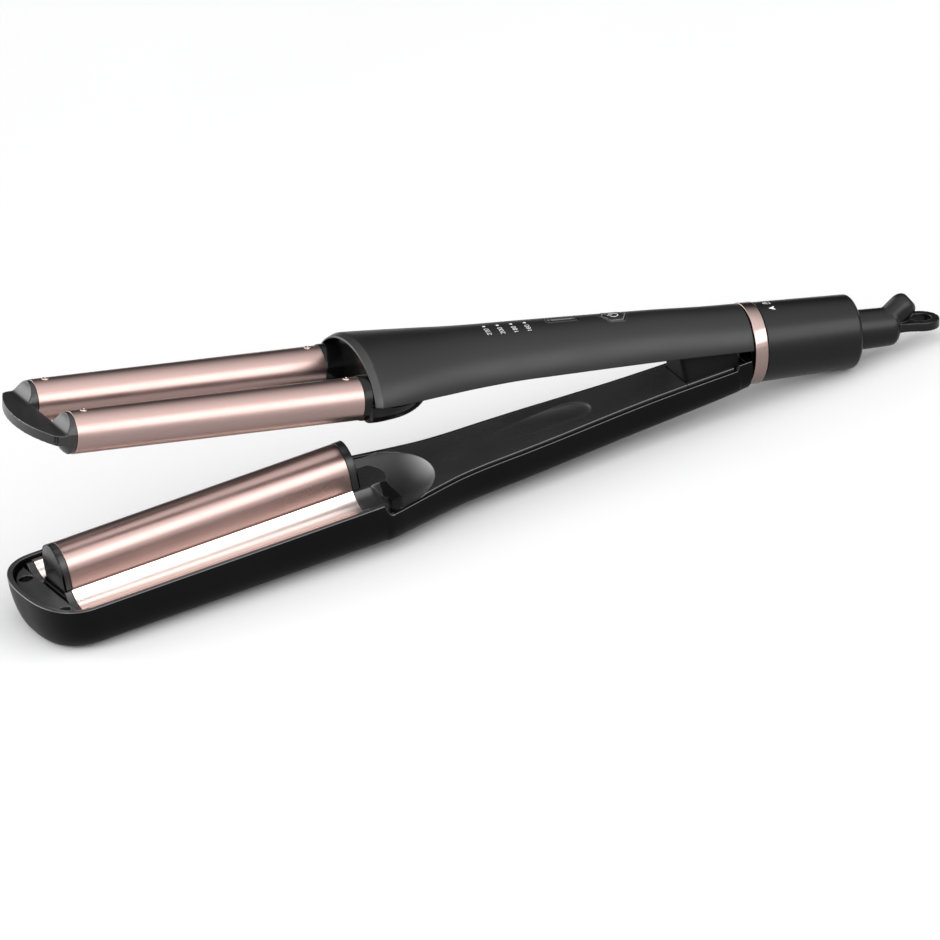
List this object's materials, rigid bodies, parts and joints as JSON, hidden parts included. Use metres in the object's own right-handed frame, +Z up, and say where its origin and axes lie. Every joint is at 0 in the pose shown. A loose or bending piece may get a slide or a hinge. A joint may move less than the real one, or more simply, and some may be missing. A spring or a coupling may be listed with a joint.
{
  "type": "hair waver",
  "caption": "Hair waver lying open: round heated barrels on the upper arm close over a centre barrel and polished troughs in the lower arm.",
  "frame": {"origin": "middle of the footprint on the surface the open waver lies on", "axes": "+X towards the cord end, +Y across, +Z up"},
  "size_m": [0.3654, 0.0644, 0.0893],
  "materials": {
    "soft_black": "fine soft-touch matte",
    "satin_black": "satin moulded",
    "gloss_black": "glossy",
    "rose_satin": "satin rose gold coating",
    "rose_polished": "polished rose gold coating",
    "screw_steel": "bright",
    "aluminium": "extruded",
    "ceramic": "unglazed ceramic",
    "insulation": "mica board",
    "board_green": "solder mask",
    "led_white": "frosted"
  },
  "bodies": {
    "upper_arm": {"upper_housing": "soft_black", "upper_inner_cover": "satin_black", "tube_socket": "gloss_black", "socket_belly": "gloss_black", "barrel_left": "rose_satin", "barrel_right": "rose_satin", "heat_spreader_left": "aluminium", "heat_spreader_right": "aluminium", "ptc_heater_left": "ceramic", "ptc_heater_right": "ceramic", "tip_bridge": "satin_black", "barrel_screws": "screw_steel", "control_pcb": "board_green", "tact_switches": "satin_black", "led_lenses": "led_white", "hinge_bracket": "screw_steel", "hinge_pin": "screw_steel", "opening_spring": "screw_steel", "rear_neck": "soft_black", "trim_ring": "rose_polished", "swivel_retainer": "satin_black", "terminal_block": "ceramic", "cover_screws": "screw_steel"},
    "lower_arm": {"lower_shell": "soft_black", "lower_deck": "satin_black", "hinge_block": "satin_black", "centre_barrel": "rose_satin", "centre_front_cap": "satin_black", "centre_rear_cap": "satin_black", "trough_plate_left": "rose_polished", "trough_plate_right": "rose_polished", "nose_floor": "satin_black", "front_end_trim": "satin_black", "rear_saddle": "satin_black", "centre_spreader": "aluminium", "centre_ptc_heater": "ceramic", "trough_heat_block": "aluminium", "heat_insulator": "insulation", "thermal_cutoff": "screw_steel", "deck_screws": "screw_steel"},
    "lock_collar": {"lock_collar": "soft_black"},
    "cord_swivel": {"cord_swivel": "soft_black"},
    "power_button": {"power_button": "satin_black"},
    "temperature_rocker": {"temperature_rocker": "satin_black"}
  },
  "joints": [
    {"name": "jaw_hinge", "type": "hinge", "parent": "upper_arm", "child": "lower_arm", "pos_m": [0.09801, 0, 0.0175], "axis": [0, 1, 0], "range_deg": [0, 12.9], "stiffness_Nm_per_rad": 1.5, "springref_deg": -20.05, "deforming": ["opening_spring"]},
    {"name": "lock_turn", "type": "hinge", "parent": "upper_arm", "child": "lock_collar", "pos_m": [0.12958, 0, 0.01696], "axis": [0.9783, 0, -0.2071], "range_deg": [0, 40]},
    {"name": "cord_turn", "type": "hinge", "parent": "upper_arm", "child": "cord_swivel", "pos_m": [0.14524, 0, 0.01366], "axis": [0.9783, 0, -0.2071], "continuous": true},
    {"name": "power_press", "type": "slide", "parent": "upper_arm", "child": "power_button", "axis": [-0.2071, 0, -0.9783], "range_m": [0, 0.0005], "stiffness_N_per_m": 800, "springref_m": -0.0005},
    {"name": "temperature_rock", "type": "hinge", "parent": "upper_arm", "child": "temperature_rocker", "pos_m": [0.04043, 0, 0.05071], "axis": [0, 1, 0], "range_deg": [-2.5, 2.5], "stiffness_Nm_per_rad": 0.05}
  ]
}
